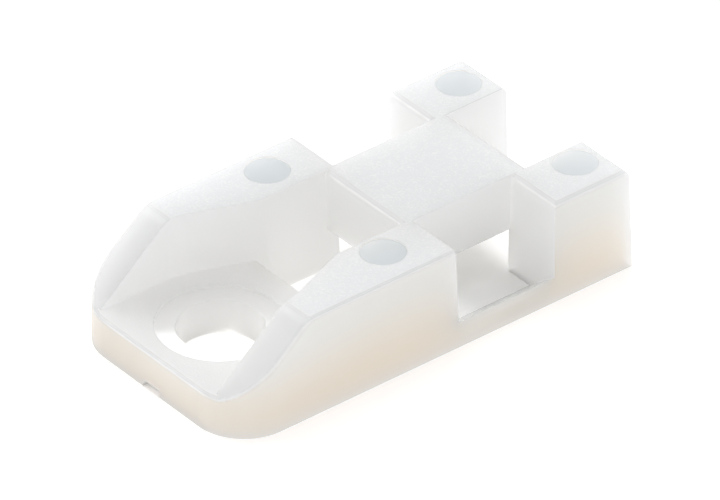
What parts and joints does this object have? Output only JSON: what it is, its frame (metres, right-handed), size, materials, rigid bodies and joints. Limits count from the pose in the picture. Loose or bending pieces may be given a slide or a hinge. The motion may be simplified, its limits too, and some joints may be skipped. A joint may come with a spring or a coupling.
{
  "type": "cable tie mount",
  "caption": "Screw-down cable tie mount: a pad with a screw hole between ramped side walls, and a low bridge that a flat cable tie passes under.",
  "frame": {"origin": "On the mounting face, on the axis of the screw hole.", "axes": "+X runs along the mount from the screw end to the post end, +Z is the hole's axis, pointing away from the panel, and the cable tie passes through along Y."},
  "size_m": [0.0219, 0.0116, 0.005],
  "materials": {
    "nylon": "matte, natural translucent nylon, polished ring at the screw hole"
  },
  "bodies": {
    "root": {"cable_tie_mount": "nylon"}
  },
  "joints": []
}
